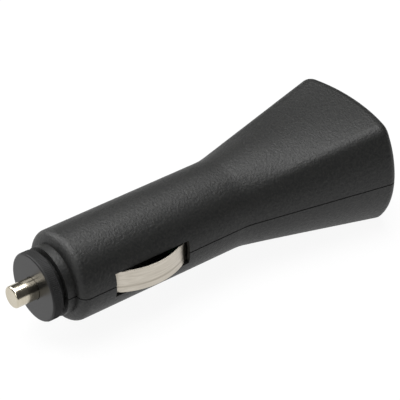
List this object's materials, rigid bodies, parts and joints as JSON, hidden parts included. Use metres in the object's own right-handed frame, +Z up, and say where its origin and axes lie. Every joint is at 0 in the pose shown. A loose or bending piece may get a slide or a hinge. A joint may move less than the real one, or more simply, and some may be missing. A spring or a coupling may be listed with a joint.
{
  "type": "lighter socket usb charger",
  "caption": "Round black plug for a vehicle's lighter socket with a sprung centre pin and bowed side contacts, flaring into a grip with a USB outlet in its domed end.",
  "frame": {"origin": "under the middle of the part's length and width, level with the underside of the flared grip", "axes": "+X along the plug's axis from the pin's tip to the domed end, +Y across the grip, +Z up"},
  "size_m": [0.0942, 0.0354, 0.026],
  "materials": {
    "shell_plastic": "fine moulded grain, matt",
    "cap_plastic": "smooth moulded, semi-gloss",
    "nickel_plate": "bright nickel plating",
    "fuse_glass": "clear drawn tube",
    "tinned_copper": "tinned",
    "spring_steel": "drawn wire and sheet",
    "lead_insulation": "extruded",
    "board_laminate": "solder mask",
    "shield_steel": "tinned sheet",
    "tongue_plastic": "moulded",
    "gold_plate": "gold flash",
    "moulded_epoxy": "moulded",
    "ferrite": "sintered",
    "copper_wire": "enamelled wire",
    "capacitor_can": "drawn can",
    "lamp_lens": "tinted epoxy"
  },
  "bodies": {
    "housing": {"upper_shell": "shell_plastic", "lower_shell": "shell_plastic", "contact_spring": "spring_steel", "spring_plate": "spring_steel", "ground_lead_left": "lead_insulation", "ground_lead_right": "lead_insulation", "circuit_board": "board_laminate", "usb_shield": "shield_steel", "usb_tongue": "tongue_plastic", "usb_contact_power": "gold_plate", "usb_contact_data_minus": "gold_plate", "usb_contact_data_plus": "gold_plate", "usb_contact_ground": "gold_plate", "converter_chip": "moulded_epoxy", "inductor_core": "ferrite", "inductor_winding": "copper_wire", "input_capacitor": "capacitor_can", "output_capacitor": "capacitor_can", "rectifier_diode": "moulded_epoxy", "resistor_left": "moulded_epoxy", "resistor_right": "moulded_epoxy", "status_lamp": "lamp_lens", "lamp_lead_left": "tinned_copper", "lamp_lead_right": "tinned_copper"},
    "nose_cap": {"nose_cap": "cap_plastic"},
    "centre_contact": {"centre_pin": "nickel_plate", "fuse_tube": "fuse_glass", "fuse_cap_front": "nickel_plate", "fuse_cap_rear": "nickel_plate", "fuse_wire": "tinned_copper"},
    "side_contact_left": {"side_contact_left": "nickel_plate"},
    "side_contact_right": {"side_contact_right": "nickel_plate"}
  },
  "joints": [
    {"name": "nose_cap_off", "type": "slide", "parent": "housing", "child": "nose_cap", "axis": [-1, 0, 0], "range_m": [0, 0.028]},
    {"name": "pin_press", "type": "slide", "parent": "nose_cap", "child": "centre_contact", "axis": [1, 0, 0], "range_m": [0, 0.0035], "stiffness_N_per_m": 800, "springref_m": -0.004, "deforming": ["contact_spring"]},
    {"name": "left_contact_press", "type": "slide", "parent": "housing", "child": "side_contact_left", "axis": [0, 1, 0], "range_m": [0, 0.0015], "stiffness_N_per_m": 2500, "springref_m": -0.0004},
    {"name": "right_contact_press", "type": "slide", "parent": "housing", "child": "side_contact_right", "axis": [0, -1, 0], "range_m": [0, 0.0015], "stiffness_N_per_m": 2500, "springref_m": -0.0004}
  ]
}
